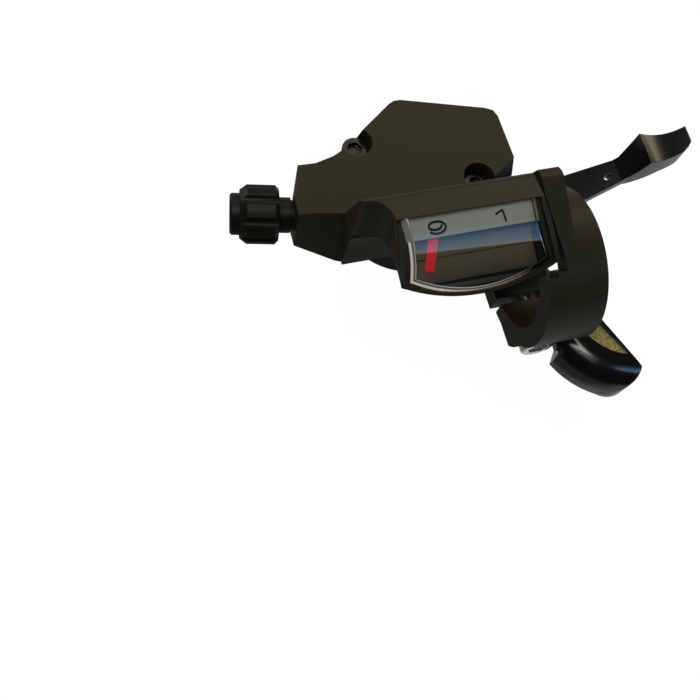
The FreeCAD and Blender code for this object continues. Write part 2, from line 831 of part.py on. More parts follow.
def make_screw(x, y, head_low, head_high, head, shank_low, shank_high, shank, socket, socket_low, socket_high):
    """A straight screw with a hexagon socket in its head."""
    screw = new_body("screw")
    add(screw, "XY", head_low, head_high, (0, 0, head))
    add(screw, "XY", shank_low, shank_high, (0, 0, shank))
    cut(screw, "XY", socket_low, socket_high, hexagon(socket))
    return place(screw, x, y, 0)


def make_cover_screws():
    top = S.recess_floor + S.screw_head_tall
    spots = ((S.screw_one_x, ahead(S.screw_one_y)), (S.screw_two_x, ahead(S.screw_two_y)))
    group("cover_screws", [make_screw(x, y, S.recess_floor, top, S.screw_head,
                                      BASE_BOTTOM, S.recess_floor + 0.5, S.screw_radius,
                                      S.screw_head, top - 0.9, top) for x, y in spots])


def make_lower_cover_screws():
    head_top = CUP_BOTTOM + S.cup_head_tall
    spots = [about_axle(S.cup_screw_at, angle) for angle in (S.cup_screw_turn, -S.cup_screw_turn)]
    group("lower_cover_screws", [make_screw(x, y, CUP_BOTTOM, head_top, S.cup_head,
                                            head_top - 0.3, BASE_TOP - 0.2, S.cup_screw_radius,
                                            S.cup_head, CUP_BOTTOM, CUP_BOTTOM + 0.6) for x, y in spots])


def countersunk(name, grow):
    """The countersunk screw that holds the clamp's lug to the base plate, or the space for it."""
    screw = new_body(name)
    shank = S.lug_screw_radius + grow
    turn(screw, [(0, BASE_BOTTOM - grow), (S.lug_screw_head + grow, BASE_BOTTOM - grow),
                 (shank, BASE_TOP - 0.1), (shank, BASE_TOP + S.lug_screw_deep), (0, BASE_TOP + S.lug_screw_deep)])
    return place(screw, (S.lug_in + S.lug_out) / 2, LUG_SCREW_Y, 0)


def make_clamp_screw():
    screw = countersunk("clamp_screw", size(0))
    cut(screw, "XY", BASE_BOTTOM, BASE_BOTTOM + 0.9, hexagon(S.lug_screw_radius * 1.5))
    return node(screw, "clamp_screw")


def make_clamp_band(screw_space):
    """The clamp band with its split ears, the boss beside the pod and the lug that carries the housing."""
    band = new_body("band")
    boss_in = S.pod_end + S.end_gap
    add(band, "YZ", boss_in, S.band_half, (0, 0, RING_RADIUS))
    top, low = S.crescent_top, S.crescent_low
    middle = (top + low) / 2
    add(band, "YZ", -S.band_half, boss_in,
        [(*on_circle(RING_RADIUS, top), RING_RADIUS),
         (*on_circle(RING_RADIUS, middle), RING_RADIUS),
         on_circle(RING_RADIUS, low),
         (*on_circle(S.bar_radius, low), Dent(S.bar_radius)),
         (*on_circle(S.bar_radius, middle), Dent(S.bar_radius)),
         on_circle(S.bar_radius, top)])
    inner = S.bar_radius + 1
    add(band, "YZ", boss_in, S.boss_out,
        [(POD_FOOT - 0.3, 2),
         (POD_FOOT - 0.3, S.plate_top),
         (S.ridge_y, RIDGE_Z + 0.4),
         (S.boss_crest_y, RIDGE_Z + S.boss_crest_over),
         (S.boss_rear_y, root(RING_RADIUS * RING_RADIUS - S.boss_rear_y * S.boss_rear_y)),
         (*on_circle(inner, size(112)), Dent(inner)),
         on_circle(inner, size(9))])
    add(band, "XY", S.body_floor, S.lug_top, box(S.lug_in, S.lug_out, inner, LUG_FRONT))
    slit_rear = S.slit_mid - S.slit_width / 2
    slit_front = slit_rear + S.slit_width
    root_z = -S.bar_radius - 0.5
    add(band, "YZ", -S.ear_half, S.ear_half,
        [on_circle(RING_RADIUS - 0.6, S.ear_lean),
         (-S.ear_rear - 1.6, EAR_LOW + 2.2),
         (-S.ear_rear - 0.4, EAR_LOW),
         (S.slit_mid, EAR_LOW),
         (S.slit_mid, root_z)])
    add(band, "YZ", S.tab_in, S.tab_out, box(S.slit_mid, S.ear_front, EAR_LOW + 0.6, root_z))
    cut(band, "YZ", S.tab_in, S.band_half, (0, 0, S.bar_radius))
    cut(band, "YZ", S.tab_in, S.band_half, box(slit_rear, slit_front, EAR_LOW - 1, -S.bar_radius + 2))
    cut(band, "XZ", -S.ear_rear - 1, S.ear_front + 1, (0, BOLT_Z, S.bolt_radius))
    cut(band, "XZ", -RING_RADIUS, -S.ear_rear, (0, BOLT_Z, S.bolt_head_radius + 0.3))
    soften(band, "Fillet", S.ridge_round,
           lambda e: is_along(e, "x") and near(e, None, S.boss_crest_y, RIDGE_Z + S.boss_crest_over))
    beside_pod = window_tool([(boss_in - 1, 0),
                              (boss_in - 1, -S.lens_drop - S.rim * 4),
                              (boss_in + S.lens_flare, -S.lens_drop - S.rim * 4),
                              (boss_in + S.lens_flare, -S.lens_drop - S.rim),
                              (boss_in, 0)], -RING_RADIUS, S.ridge_round * 2)
    band = boolean("Cut", band, beside_pod)
    return node(boolean("Cut", band, screw_space), "clamp_band")


def make_clamp_bolt():
    """The socket-head bolt that pinches the band's ears."""
    bolt = new_body("clamp_bolt")
    face = -S.ear_rear - S.bolt_head_tall
    add(bolt, "XZ", face, -S.ear_rear, (0, 0, S.bolt_head_radius))
    add(bolt, "XZ", -S.ear_rear - 0.5, S.ear_front - 0.3, (0, 0, S.bolt_radius))
    cut(bolt, "XZ", face, face + 2.2, hexagon(S.bolt_socket))
    soften(bolt, "Chamfer", size(0.4), lambda e: e.Curve.TypeId == "Part::GeomCircle"
           and abs(e.CenterOfMass.y - face.value) < 0.01)
    place(bolt, 0, 0, BOLT_Z)
    return node(bolt, "clamp_bolt")


def make_display():
    """The bevelled lens, the number strip under it and the dial plate behind the needle."""
    bevelled = window_tool(lens_outline(0, S.lens_thick * 3), -S.lens_thick - 0.2, 2, -S.lens_bevel)
    lens = boolean("Common", bevelled,
                   crown_band(S.lens_thick, S.lens_thick, S.lens_left - 1, S.lens_right + S.lens_flare + 1))
    below_brow = window_tool(box(-FAR, FAR, -FAR, -S.lens_fit), -FAR, FAR)
    node(boolean("Common", lens, below_brow), "display_lens")
    left = S.lens_left + S.lens_ledge + S.lens_fit
    right = S.lens_right - S.lens_ledge - S.lens_fit
    strip = boolean("Common", window_tool(box(left, right, -S.strip_deep, -S.strip_top), -4, 4),
                    crown_band(S.lens_thick + S.strip_gap + S.strip_thick, S.strip_thick, left - 1, right + 1))
    node(strip, "number_strip")
    dial = new_body("dial_plate")
    add(dial, "YZ", left, right,
        [in_window(S.dial_drop, S.dial_depth + S.dial_thick),
         in_window(S.dial_top, S.dial_depth + S.dial_thick),
         in_window(S.dial_top, S.dial_depth),
         in_window(S.dial_drop, S.dial_depth)])
    node(dial, "dial_plate")


def make_needle():
    """The indicator: a hub on the axle, an arm that climbs into the pod and the needle over the dial."""
    needle = new_body("indicator_needle")
    high = S.arm_low + S.arm_thick
    add(needle, "XY", S.arm_low, high, (0, 0, S.arm_hub), (0, 0, TURN_RADIUS))
    half = S.needle_wide / 2
    slim = S.arm_thick / 2
    level = BROW_Z - S.needle_under + (AXLE_Y - S.brow_y) * S.needle_slope
    crest = level - S.crest_radius * S.needle_slope
    reach = AXLE_Y - S.brow_y + S.lens_drop * COS_TILT - S.needle_short
    tip = level - reach * S.needle_slope
    add(needle, "YZ", -half, half,
        [(-S.arm_hub + 1, S.arm_low),
         (-S.arm_hub + 1, high),
         (-S.knee_radius + S.arm_thick, high),
         (-S.knee_radius + slim, S.knee_z),
         (-S.crest_radius + slim, crest + slim),
         (-S.crest_radius, crest + S.needle_thick),
         (-reach, tip + S.needle_thick),
         (-reach, tip),
         (-S.crest_radius, crest),
         (-S.knee_radius - slim, S.knee_z),
         (-S.knee_radius, S.arm_low)])
    at_axle(needle, -S.needle_rest)
    return node(needle, "indicator_needle")


def tube(label, inner, outer, low, high):
    body = new_body(label)
    add(body, "XY", low, high, (0, 0, outer), (0, 0, inner))
    at_axle(body)
    return node(body, label)


def make_axle():
    """The fixed axle with its flange under the housing's roof, and the washer and nut below the levers."""
    axle = new_body("pivot_axle")
    flange_low = ROOF - S.axle_flange_thick
    turn(axle, [(0, NUT_BOTTOM - 0.4), (S.axle_radius, NUT_BOTTOM - 0.4), (S.axle_radius, flange_low),
                (S.axle_flange, flange_low), (S.axle_flange, ROOF), (S.axle_radius, ROOF),
                (S.axle_radius, ROOF + S.axle_socket - S.turn_fit), (0, ROOF + S.axle_socket - S.turn_fit)])
    node(at_axle(axle), "pivot_axle")
    tube("axle_washer", S.axle_radius, S.washer_radius, WASHER_BOTTOM, WASHER_BOTTOM + S.washer_thick)
    nut = new_body("axle_nut")
    add(nut, "XY", NUT_BOTTOM, WASHER_BOTTOM, hexagon(S.axle_nut_flats), (0, 0, S.axle_radius))
    node(at_axle(nut), "axle_nut")


def make_spool():
    """The grooved cable spool with its plain bush and the toothed wheel under it."""
    tube("spool_bush", TURN_RADIUS, BUSH_RADIUS, S.wheel_bottom, S.arm_low - 0.15)
    spool = new_body("cable_spool")
    floor = S.spool_top - S.spring_recess_deep
    turn(spool, [(BUSH_RADIUS, S.spool_bottom), (S.spool_flange, S.spool_bottom),
                 (S.spool_flange, S.groove_z - S.groove_half),
                 (S.groove_radius, S.groove_z - S.groove_half / 2),
                 (S.groove_radius, S.groove_z + S.groove_half / 2),
                 (S.spool_flange, S.groove_z + S.groove_half),
                 (S.spool_flange, S.spool_top), (S.spring_recess_out, S.spool_top),
                 (S.spring_recess_out, floor), (S.spring_recess_in, floor),
                 (S.spring_recess_in, S.spool_top), (BUSH_RADIUS, S.spool_top)])
    node(at_axle(spool), "cable_spool")
    wheel = new_body("ratchet_wheel")
    add(wheel, "XY", S.wheel_bottom, S.spool_bottom, (0, 0, S.wheel_tip), (0, 0, BUSH_RADIUS))
    pitch = size(FULL_TURN) / S.wheel_teeth * 0.85
    far = S.wheel_tip + 0.6
    gap = cut(wheel, "XY", S.wheel_bottom, S.spool_bottom,
              [(S.wheel_root, 0), (far, 0), (far * cosine(pitch), far * sine(pitch))])
    around(wheel, gap, S.wheel_teeth)
    node(at_axle(wheel), "ratchet_wheel")


def open_ring(body, low, high, radius, wire):
    """A ring of flat wire with a gap on its +X side."""
    outer = radius + wire / 2
    inner = radius - wire / 2
    gap = size(12)
    add(body, "XY", low, high,
        [(outer * cosine(gap), outer * sine(gap), outer), (-outer, 0, outer),
         (outer * cosine(gap), -outer * sine(gap)), (inner * cosine(gap), -inner * sine(gap), Dent(inner)),
         (-inner, 0, Dent(inner)), (inner * cosine(gap), inner * sine(gap))])


def leg(body, low, high, start, end, wire, angle):
    """A straight end of a flat-wire spring, along the radius at the ring's gap."""
    middle = (start + end) / 2 * sine(size(angle))
    add(body, "XY", low, high, box(start, end, middle - wire / 2, middle + wire / 2))


def make_springs():
    """The flat-wire springs of the spool and of the two levers."""
    spool = new_body("spool_spring")
    low = S.spool_top - S.spring_recess_deep + 0.3
    high = S.spool_top - 0.1
    wire = S.spring_wire
    open_ring(spool, low, high, S.spring_outer, wire)
    open_ring(spool, low, high, S.spring_inner, wire)
    leg(spool, low, high, S.spring_inner - wire / 4, S.spring_outer + wire / 4, wire, 13)
    node(at_axle(spool), "spool_spring")
    low = CUP_BOTTOM + S.cup_floor + 0.05
    wire = S.lever_wire
    for label, radius, angle in (("release_lever_spring", S.lever_spring_in, 150),
                                 ("main_lever_spring", S.lever_spring_out, 200)):
        spring = new_body(label)
        open_ring(spring, low, low + wire, radius, wire)
        leg(spring, low, low + wire, radius - wire / 4, radius + wire * 1.6, wire, 12)
        node(at_axle(spring, size(angle)), label)


def make_pawl(label, angle):
    """A pawl at the toothed wheel's level, its nose leading on anticlockwise from its pin."""
    pawl = new_body(label)
    nose = S.wheel_tip + 0.25
    lead = size(28)
    add(pawl, "XY", S.wheel_bottom, S.pawl_top, (S.pawl_pin_at, 0, S.pawl_boss))
    add(pawl, "XY", S.wheel_bottom, S.pawl_top,
        [(S.pawl_pin_at - S.pawl_boss * 0.8, -S.pawl_boss * 0.55),
         (S.pawl_pin_at + S.pawl_boss * 0.75, S.pawl_boss * 0.65),
         (nose * cosine(lead) + 0.9, nose * sine(lead) + 0.2),
         (nose * cosine(lead), nose * sine(lead))])
    cut(pawl, "XY", S.wheel_bottom, S.pawl_top, (S.pawl_pin_at, 0, S.pawl_pin_radius + S.turn_fit))
    node(at_axle(pawl, angle), label)


def make_pin(label, low, angle):
    pin = new_body(label)
    add(pin, "XY", low, S.pawl_top, (S.pawl_pin_at, 0, S.pawl_pin_radius))
    node(at_axle(pin, angle), label)


def make_drive_sleeve():
    """The sleeve that carries the thumb lever's turn up to the drive pawl's arm."""
    sleeve = new_body("drive_sleeve")
    disc = SLEEVE_RADIUS + S.carrier_disc
    turn(sleeve, [(TURN_RADIUS, THUMB_BOTTOM), (SLEEVE_RADIUS, THUMB_BOTTOM),
                  (SLEEVE_RADIUS, S.carrier_bottom), (disc, S.carrier_bottom), (disc, S.carrier_top),
                  (SLEEVE_RADIUS, S.carrier_top), (SLEEVE_RADIUS, S.wheel_bottom - 0.1),
                  (TURN_RADIUS, S.wheel_bottom - 0.1)])
    reach = S.pawl_pin_at + S.pawl_boss - 0.2
    add(sleeve, "XY", S.carrier_bottom, S.carrier_top,
        [(SLEEVE_RADIUS + 0.4, -S.carrier_root), (reach, -S.carrier_end),
         (reach, S.carrier_end), (SLEEVE_RADIUS + 0.4, S.carrier_root)])
    cut(sleeve, "XY", S.carrier_bottom, S.carrier_top, (S.pawl_pin_at, 0, S.pawl_pin_radius))
    node(at_axle(sleeve, S.drive_pawl_turn), "drive_sleeve")


def make_release_lever():
    """The release lever: a flat hub, an arm that climbs outboard and a cupped finger pad."""
    side = new_body("release_side")
    rise_low = RELEASE_BOTTOM + S.release_rise
    rise_high = RELEASE_TOP + S.release_rise
    start = S.axle_x - S.release_hub - 1
    add(side, "XZ", 0, FAR,
        [(start, RELEASE_BOTTOM),
         (S.release_bend_x + 0.3, RELEASE_BOTTOM),
         (S.release_rise_x, rise_low, S.pad_low_round * 3),
         (S.pad_low_x, S.pad_low_z, S.pad_low_round),
         (S.pad_tip_x, S.pad_tip_z - S.pad_thick, S.pad_tip_round),
         (S.pad_tip_x - 1, S.pad_tip_z, Dent(S.pad_hollow)),
         (S.pad_step_x, S.pad_step_z, Dent(S.web_hollow)),
         (S.release_rise_x, rise_high),
         (S.release_bend_x, RELEASE_TOP),
         (start, RELEASE_TOP)])
    plan = new_body("release_plan")
    low = RELEASE_BOTTOM - 1
    high = S.pad_tip_z + 1
    add(plan, "XY", low, high, (S.axle_x, AXLE_Y, S.release_hub))
    add(plan, "XY", low, high,
        [(S.axle_x, AXLE_Y - S.release_hub + 0.1),
         (S.release_bend_x - 2, ahead(S.release_rear_in)),
         (S.release_bend_x + 2, ahead(S.release_rear_mid)),
         ((S.release_bend_x + S.release_rise_x) / 2 + 2, ahead(S.release_rear_mid) + 0.4),
         (S.release_rise_x + 0.7, ahead(S.release_rear_out), S.pad_rear_round),
         (S.pad_tip_x - S.pad_thick, ahead(S.pad_rear), S.pad_tip_round * 1.5),
         (S.pad_tip_x - 0.5, ahead(S.pad_front) - 1.1, Dent(S.pad_hollow)),
         (S.pad_step_x, ahead(S.pad_front)),
         (S.release_rise_x + 1, ahead(S.release_front)),
         (S.release_bend_x - 6, ahead(S.release_front) + 0.2),
         (S.axle_x + 3.5, AXLE_Y + S.release_hub - 1.2)])
    cut(plan, "XY", low, high, (S.axle_x, AXLE_Y, SLEEVE_RADIUS + S.turn_fit))
    cut(plan, "XY", low, high, (S.release_hole_x, ahead(S.release_hole_y), S.release_hole))
    node(boolean("Common", side, plan), "release_lever")


def make_blade_rounding():
    """The space over the blade's near edge, which leaves it rounded for the thumb."""
    rounding = new_body("blade_rounding")
    shoulder = S.blade_near_arc - S.blade_round
    low = S.blade_top - S.blade_round
    turn(rounding, [(S.blade_near_arc, low), (S.blade_near_arc + 4, low),
                    (S.blade_near_arc + 4, S.blade_top + 2), (shoulder, S.blade_top + 2),
                    (shoulder, S.blade_top, Dent(S.blade_round))], S.blade_round_over)
    return place(rounding, S.blade_centre_x, S.blade_centre_y, 0, turn=S.blade_round_from)


def on_blade(radius, angle):
    """A point about the centre of the blade's near arc."""
    return S.blade_centre_x + radius * cosine(angle), S.blade_centre_y + radius * sine(angle)


def make_main_lever():
    """The thumb lever: a flat arm under the cover and a deep, rounded blade with a sunken top."""
    lever = new_body("lever")
    add(lever, "XY", S.blade_bottom, S.blade_top,
        [(S.blade_clear_x, S.blade_start_y - 1),
         (S.blade_clear_x, S.blade_heel_y),
         (*on_blade(S.blade_near_arc, S.blade_near_from), S.blade_near_arc),
         (*on_blade(S.blade_near_arc, S.blade_near_to), S.blade_nose_arc),
         (S.blade_tip_x, S.blade_tip_y),
         (S.blade_start_x, S.blade_start_y)])
    add(lever, "XY", THUMB_BOTTOM, THUMB_TOP,
        [(S.axle_x - S.thumb_hub * 0.6, AXLE_Y - S.thumb_hub * 0.8),
         (S.thumb_inner_x, S.thumb_inner_y),
         (S.thumb_inner_x, S.blade_heel_y - 1.5),
         (S.blade_start_x, S.blade_heel_y - 0.5),
         (S.blade_start_x, S.blade_start_y),
         (S.thumb_neck_x, S.thumb_neck_y),
         (S.axle_x + S.thumb_hub * 0.5, AXLE_Y + S.thumb_hub * 0.86)])
    add(lever, "XY", THUMB_BOTTOM, THUMB_TOP, (S.axle_x, AXLE_Y, S.thumb_hub))
    cut(lever, "XY", THUMB_BOTTOM, THUMB_TOP, (S.axle_x, AXLE_Y, SLEEVE_RADIUS))
    edge = S.blade_rim
    sunken = S.blade_near_arc - S.blade_round - edge
    cut(lever, "XY", S.blade_top - S.blade_sink, S.blade_top,
        [(*on_blade(sunken, S.blade_round_from + 2), sunken),
         on_blade(sunken, S.blade_sunk_to),
         (S.blade_tip_x - edge, S.blade_tip_y + edge * 1.6),
         (S.blade_start_x - edge, S.blade_start_y - edge * 1.6)])
    node(boolean("Cut", lever, make_blade_rounding()), "main_lever")


def make_barrel_adjuster():
    """The ridged barrel adjuster with its stem in the block and the seat for the cable's outer casing."""
    barrel = new_body("barrel_adjuster")
    start = S.barrel_start
    end = start + S.barrel_long
    face = end + S.collar_long
    bevel = S.barrel_chamfer
    turn_lying(barrel, [(-S.barrel_stem_long, S.cable_radius), (-S.barrel_stem_long, S.barrel_stem),
                        (0.4, S.barrel_stem), (0.4, S.barrel_neck), (start, S.barrel_neck),
                        (start, S.barrel_radius - bevel), (start + bevel, S.barrel_radius),
                        (end - bevel * 2, S.barrel_radius), (end, S.barrel_radius - bevel * 1.5),
                        (end, S.collar_radius), (face - 0.4, S.collar_radius), (face, S.collar_radius - 0.4),
                        (face, S.casing_radius), (face - S.casing_deep, S.casing_radius),
                        (face - S.casing_deep, S.cable_radius)])
    groove = cut(barrel, "YZ", -face, -start, (S.barrel_radius + S.barrel_groove * 0.3, 0, S.barrel_groove))
    around(barrel, groove, S.barrel_ridges, "X_Axis")
    node(along_barrel(barrel), "barrel_adjuster")


screw_space = countersunk("lug_screw_space", S.screw_fit)
make_housing()
make_base_plate(screw_space)
make_lower_cover()
make_cover_screws()
make_lower_cover_screws()
make_clamp_screw()
make_clamp_band(screw_space)
make_clamp_bolt()
make_display()
make_needle()
make_axle()
make_spool()
make_springs()
make_pawl("hold_pawl", S.hold_pawl_turn)
make_pawl("drive_pawl", S.drive_pawl_turn)
make_pin("hold_pawl_pin", BASE_BOTTOM, S.hold_pawl_turn)
make_pin("drive_pawl_pin", S.carrier_bottom, S.drive_pawl_turn)
make_drive_sleeve()
make_release_lever()
make_main_lever()
make_barrel_adjuster()
doc.recompute()

os.makedirs("parts", exist_ok=True)
faults = [thing.Name for thing in doc.Objects if "Invalid" in thing.State or "Error" in thing.State]
faults += [piece.Label for piece in NODES if piece.Shape.isNull() or not piece.Shape.isValid()]
if faults:
    raise RuntimeError("pieces that did not build: " + ", ".join(faults))
for piece in NODES:
    piece.Shape.exportStep("parts/%s.step" % piece.Label)
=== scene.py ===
"""Finish and studio for the right-hand gear shifter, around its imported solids. Lengths are in metres."""
import json
import math
from contextlib import contextmanager

import bpy
from mathutils import Euler, Matrix, Vector


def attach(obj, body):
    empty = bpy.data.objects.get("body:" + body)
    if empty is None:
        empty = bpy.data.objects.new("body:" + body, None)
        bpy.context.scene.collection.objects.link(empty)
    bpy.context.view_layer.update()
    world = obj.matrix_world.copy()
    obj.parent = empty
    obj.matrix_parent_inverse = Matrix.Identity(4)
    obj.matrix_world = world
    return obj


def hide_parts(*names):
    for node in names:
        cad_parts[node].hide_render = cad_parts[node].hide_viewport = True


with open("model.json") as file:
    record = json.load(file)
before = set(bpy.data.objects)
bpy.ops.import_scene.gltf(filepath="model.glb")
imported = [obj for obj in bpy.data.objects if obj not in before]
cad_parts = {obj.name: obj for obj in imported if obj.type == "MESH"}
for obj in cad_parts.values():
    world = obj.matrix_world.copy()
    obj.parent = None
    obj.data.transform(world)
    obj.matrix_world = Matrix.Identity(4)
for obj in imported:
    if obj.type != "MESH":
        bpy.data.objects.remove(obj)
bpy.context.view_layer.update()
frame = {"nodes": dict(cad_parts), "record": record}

MM = 0.001

# The window's plane: its front edge (y, z), its lean, and the crown of the lens over it
BROW = (5.8 * MM, 19.5 * MM)
WINDOW_TILT = math.radians(30.6)
WINDOW_CROWN = 26 * MM
WINDOW_CHORD = 12 * MM
DOWN = Vector((0, -math.cos(WINDOW_TILT), -math.sin(WINDOW_TILT)))
OUT = Vector((0, -math.sin(WINDOW_TILT), math.cos(WINDOW_TILT)))
ALONG = Vector((1, 0, 0))

# How far down the window the slabs of the lens and of the rim are swept before they are cut
SLAB_REACH = 16 * MM

# The lens: its ends along the bar, how far its outboard end slants, where it starts and ends down the window,
# the bow of its lower edge, the foot and lean of its chamfer, and the fine bevel over that
LENS_LEFT = -32 * MM
LENS_RIGHT = -5.7 * MM
LENS_FLARE = 1.9 * MM
LENS_TOP = 0.08 * MM
LENS_END = 15.8 * MM
LENS_DROP = 11.7 * MM
LENS_ARC = 33 * MM
LENS_FOOT = -1.4 * MM
LENS_THICK = 1.2 * MM
LENS_LEAN = math.tan(math.radians(40))
LENS_BEVEL = 0.10 * MM

# How squarely the lens's faces look out of the window: its chamfer, its top at least and its back at most
CHAMFER_LOOKS = (0.55, 0.75)
TOP_LOOKS = 0.8
BACK_LOOKS = 0.5

# What is taken off the rim round the lens: its ends, its start and end, from how high and how deep
RIM_LEFT = -37 * MM
RIM_RIGHT = -5.2 * MM
RIM_TOP = 0.1 * MM
RIM_END = 15.9 * MM
RIM_HIGH = 3 * MM
RIM_LOW = 0.9 * MM

# The number strip under the lens, and the strokes of its figures
STRIP_LEFT = -31.22 * MM
STRIP_RIGHT = -6.48 * MM
STRIP_TOP = 0.2 * MM
STRIP_END = 4.2 * MM
STRIP_REACH = 8 * MM
STRIP_UNDER = 1.3 * MM
STRIP_THICK = 0.25 * MM
STROKE = 0.22 * MM
INK_OVER = 0.03 * MM

# The display's liner: its ends along the bar, its least height and its distance from the bar's axis
LINER_ENDS = (-31.4 * MM, -6.3 * MM)
LINER_OVER = 8 * MM
LINER_RADII = (12.2 * MM, 12.6 * MM)

# The grip, whose tan colour is a painted warm sheen: the heights that it lies between, and how level its faces are
GRIP_LEVELS = (-14.0 * MM, -13.4 * MM)
GRIP_LEVEL_FACE = 0.98

# Points closer than this are one, faces closer to level than this are one, and edges over this are sharp
SLAB_WELD = 0.0005 * MM
SOLID_WELD = 0.002 * MM
FLAT_WITHIN = math.radians(0.4)
SHARP_OVER = math.radians(30)
SMOOTH_SOLID = math.radians(35)
SMOOTH_CROWN = math.radians(22)

# Where finishes change: the painted silver reflection on the lens's chamfer, its painted bright line of highlight
# along the bar, and the needle's red tip
PAINTED_SILVER_ENDS = (4.0 * MM, 4.4 * MM)
PAINTED_LINE_FADES = (-20 * MM, -8 * MM)
RED_STARTS = (3.0 * MM, 3.2 * MM)

# Depth of the moulded grain and of the grip's pebbles, and the clear plastic's refractive index
GRAIN_DEPTH = 0.04 * MM
PEBBLE_DEPTH = 0.08 * MM
CLEAR_INDEX = 1.49

# The studio: the point that its lights face, its floor, and the brightness of what surrounds the object
AIM = (-0.015, 0.010, 0.0)
FLOOR_SIDE = 6
FLOOR_LEVEL = -0.060
FLOOR_WHITE = 0.92
FLOOR_GLOW = 1.05
SURROUND_LEVEL = 0.02
SKY_LEVEL = 4.0

# Between these places along the bar, gloss sees the floor turn from nearly black to half white
FLOOR_PALES = (-0.030, 0.020)
FLOOR_GLOSS = (0.03, 0.50)


# Shader expressions

class Wire:
    """An output of a node, so that shader sums read as plain expressions."""

    def __init__(self, tree, socket):
        self.tree = tree
        self.socket = socket

    def node(self, kind, settings=None, values=None, output=0):
        """A new node of the same tree, with its settings and with its inputs set or linked."""
        made = self.tree.nodes.new(kind)
        for name, setting in (settings or {}).items():
            if name == "stops":
                ramp = made.color_ramp
                while len(ramp.elements) < len(setting):
                    ramp.elements.new(0.5)
                for stop, (place, colour) in zip(ramp.elements, setting):
                    stop.position = place
                    stop.color = colour
            else:
                setattr(made, name, setting)
        for name, value in (values or {}).items():
            if isinstance(value, Wire):
                self.tree.links.new(value.socket, made.inputs[name])
            else:
                made.inputs[name].default_value = value
        return Wire(self.tree, made.outputs[output])

    def maths(self, operation, first, second):
        return self.node("ShaderNodeMath", {"operation": operation}, {0: first, 1: second})

    def noise(self, scale, detail):
        """Cloudy noise at this place."""
        return self.node("ShaderNodeTexNoise", {}, {"Vector": self, "Scale": scale, "Detail": detail})

    def between(self, low, high, first, last):
        """This value, moved from one range to another and held at its ends."""
        return self.node("ShaderNodeMapRange", {}, {0: self, 1: low, 2: high, 3: first, 4: last})

    def blend(self, first, second):
        """A colour between two, by this share."""
        return self.node("ShaderNodeMix", {"data_type": "RGBA"}, {0: self, "A": first, "B": second}, output=2)

    def bump(self, strength, depth):
        """A relief in the surface, by this height."""
        return self.node("ShaderNodeBump", {}, {"Strength": strength, "Distance": depth, "Height": self})

    def __add__(self, other):
        return self.maths("ADD", self, other)

    def __sub__(self, other):
        return self.maths("SUBTRACT", self, other)

    def __rsub__(self, other):
        return self.maths("SUBTRACT", other, self)

    def __mul__(self, other):
        return self.maths("MULTIPLY", self, other)

    def __truediv__(self, other):
        return self.maths("DIVIDE", self, other)

    __radd__ = __add__
    __rmul__ = __mul__


def new_finish(name):
    """An empty node material, with its surface shader and the place of the shaded point."""
    finish = bpy.data.materials.new(name)
    finish.use_nodes = True
    tree = finish.node_tree
    shader = tree.nodes["Principled BSDF"]
    place = Wire(tree, tree.nodes.new("ShaderNodeTexCoord").outputs["Object"])
    return finish, shader, place


def plug(shader, name, value):
    """Set a socket of a shader, or link it."""
    if isinstance(value, Wire):
        value.tree.links.new(value.socket, shader.inputs[name])
    else:
        shader.inputs[name].default_value = value


def shade(colour, share=1.0):
    """An opaque colour, made darker or lighter."""
    return (*(channel * share for channel in colour), 1)


def place_in_window(place):
    """Where a shaded point lies: along the bar, down the window and over the window's plane."""
    apart = place.node("ShaderNodeSeparateXYZ", {}, {0: place})
    across, ahead, up = (Wire(place.tree, output) for output in apart.socket.node.outputs)
    ahead = ahead - BROW[0]
    up = up - BROW[1]
    return across, ahead * DOWN.y + up * DOWN.z, ahead * OUT.y + up * OUT.z


# Finishes

def moulded(name, colour, roughness, grain, mottle, gloss=0.25):
    """Moulded or coated plastic: a fine grain in the surface and a slight unevenness in its gloss."""
    finish, shader, place = new_finish(name)
    cloud = place.noise(90.0, 4.0)
    plug(shader, "Base Color", cloud.blend(shade(colour, 1 - mottle), shade(colour, 1 + mottle)))
    plug(shader, "Roughness", cloud * (2 * mottle * roughness) + roughness * (1 - mottle))
    plug(shader, "Normal", place.noise(4200.0, 2.0).bump(grain, GRAIN_DEPTH))
    plug(shader, "Specular IOR Level", gloss)
    return finish


def speckled(name, colour, roughness):
    """A coarse, pebbled coating with darker and lighter specks."""
    finish, shader, place = new_finish(name)
    pebbles = place.noise(2200.0, 3.0)
    spread = pebbles.between(0.38, 0.64, 0.0, 1.0)
    plug(shader, "Base Color", spread.blend(shade(colour, 0.55), shade(colour, 1.55)))
    plug(shader, "Roughness", spread * 0.2 + (roughness - 0.1))
    plug(shader, "Normal", pebbles.bump(0.7, PEBBLE_DEPTH))
    plug(shader, "Specular IOR Level", 0.35)
    return finish


def metal(name, colour, roughness, streak):
    """Plated or turned steel with faint streaks in its gloss."""
    finish, shader, place = new_finish(name)
    stretched = place.node("ShaderNodeMapping", {}, {"Vector": place, "Scale": (600.0, 600.0, 6000.0)})
    plug(shader, "Base Color", shade(colour))
    plug(shader, "Metallic", 1.0)
    plug(shader, "Roughness", stretched.noise(1.0, 3.0) * streak + (roughness - streak / 2))
    return finish


def clear(name, tint, least_gloss=None):
    """Clear polished plastic: see-through, with a mirror-like gloss on outer faces and none at its back."""
    finish, shader, place = new_finish(name)
    tree = finish.node_tree
    plug(shader, "Base Color", (1, 1, 1, 1))
    plug(shader, "Metallic", 1.0)
    plug(shader, "Roughness", 0.03)
    look = place.node("ShaderNodeBsdfTransparent", {}, {"Color": shade(tint)})
    if least_gloss is not None:
        gloss = place.node("ShaderNodeFresnel", {}, {"IOR": CLEAR_INDEX}) + least_gloss
        look = place.node("ShaderNodeMixShader", {}, {0: gloss, 1: look, 2: Wire(tree, shader.outputs[0])})
    plug(tree.nodes["Material Output"], "Surface", look)
    return finish


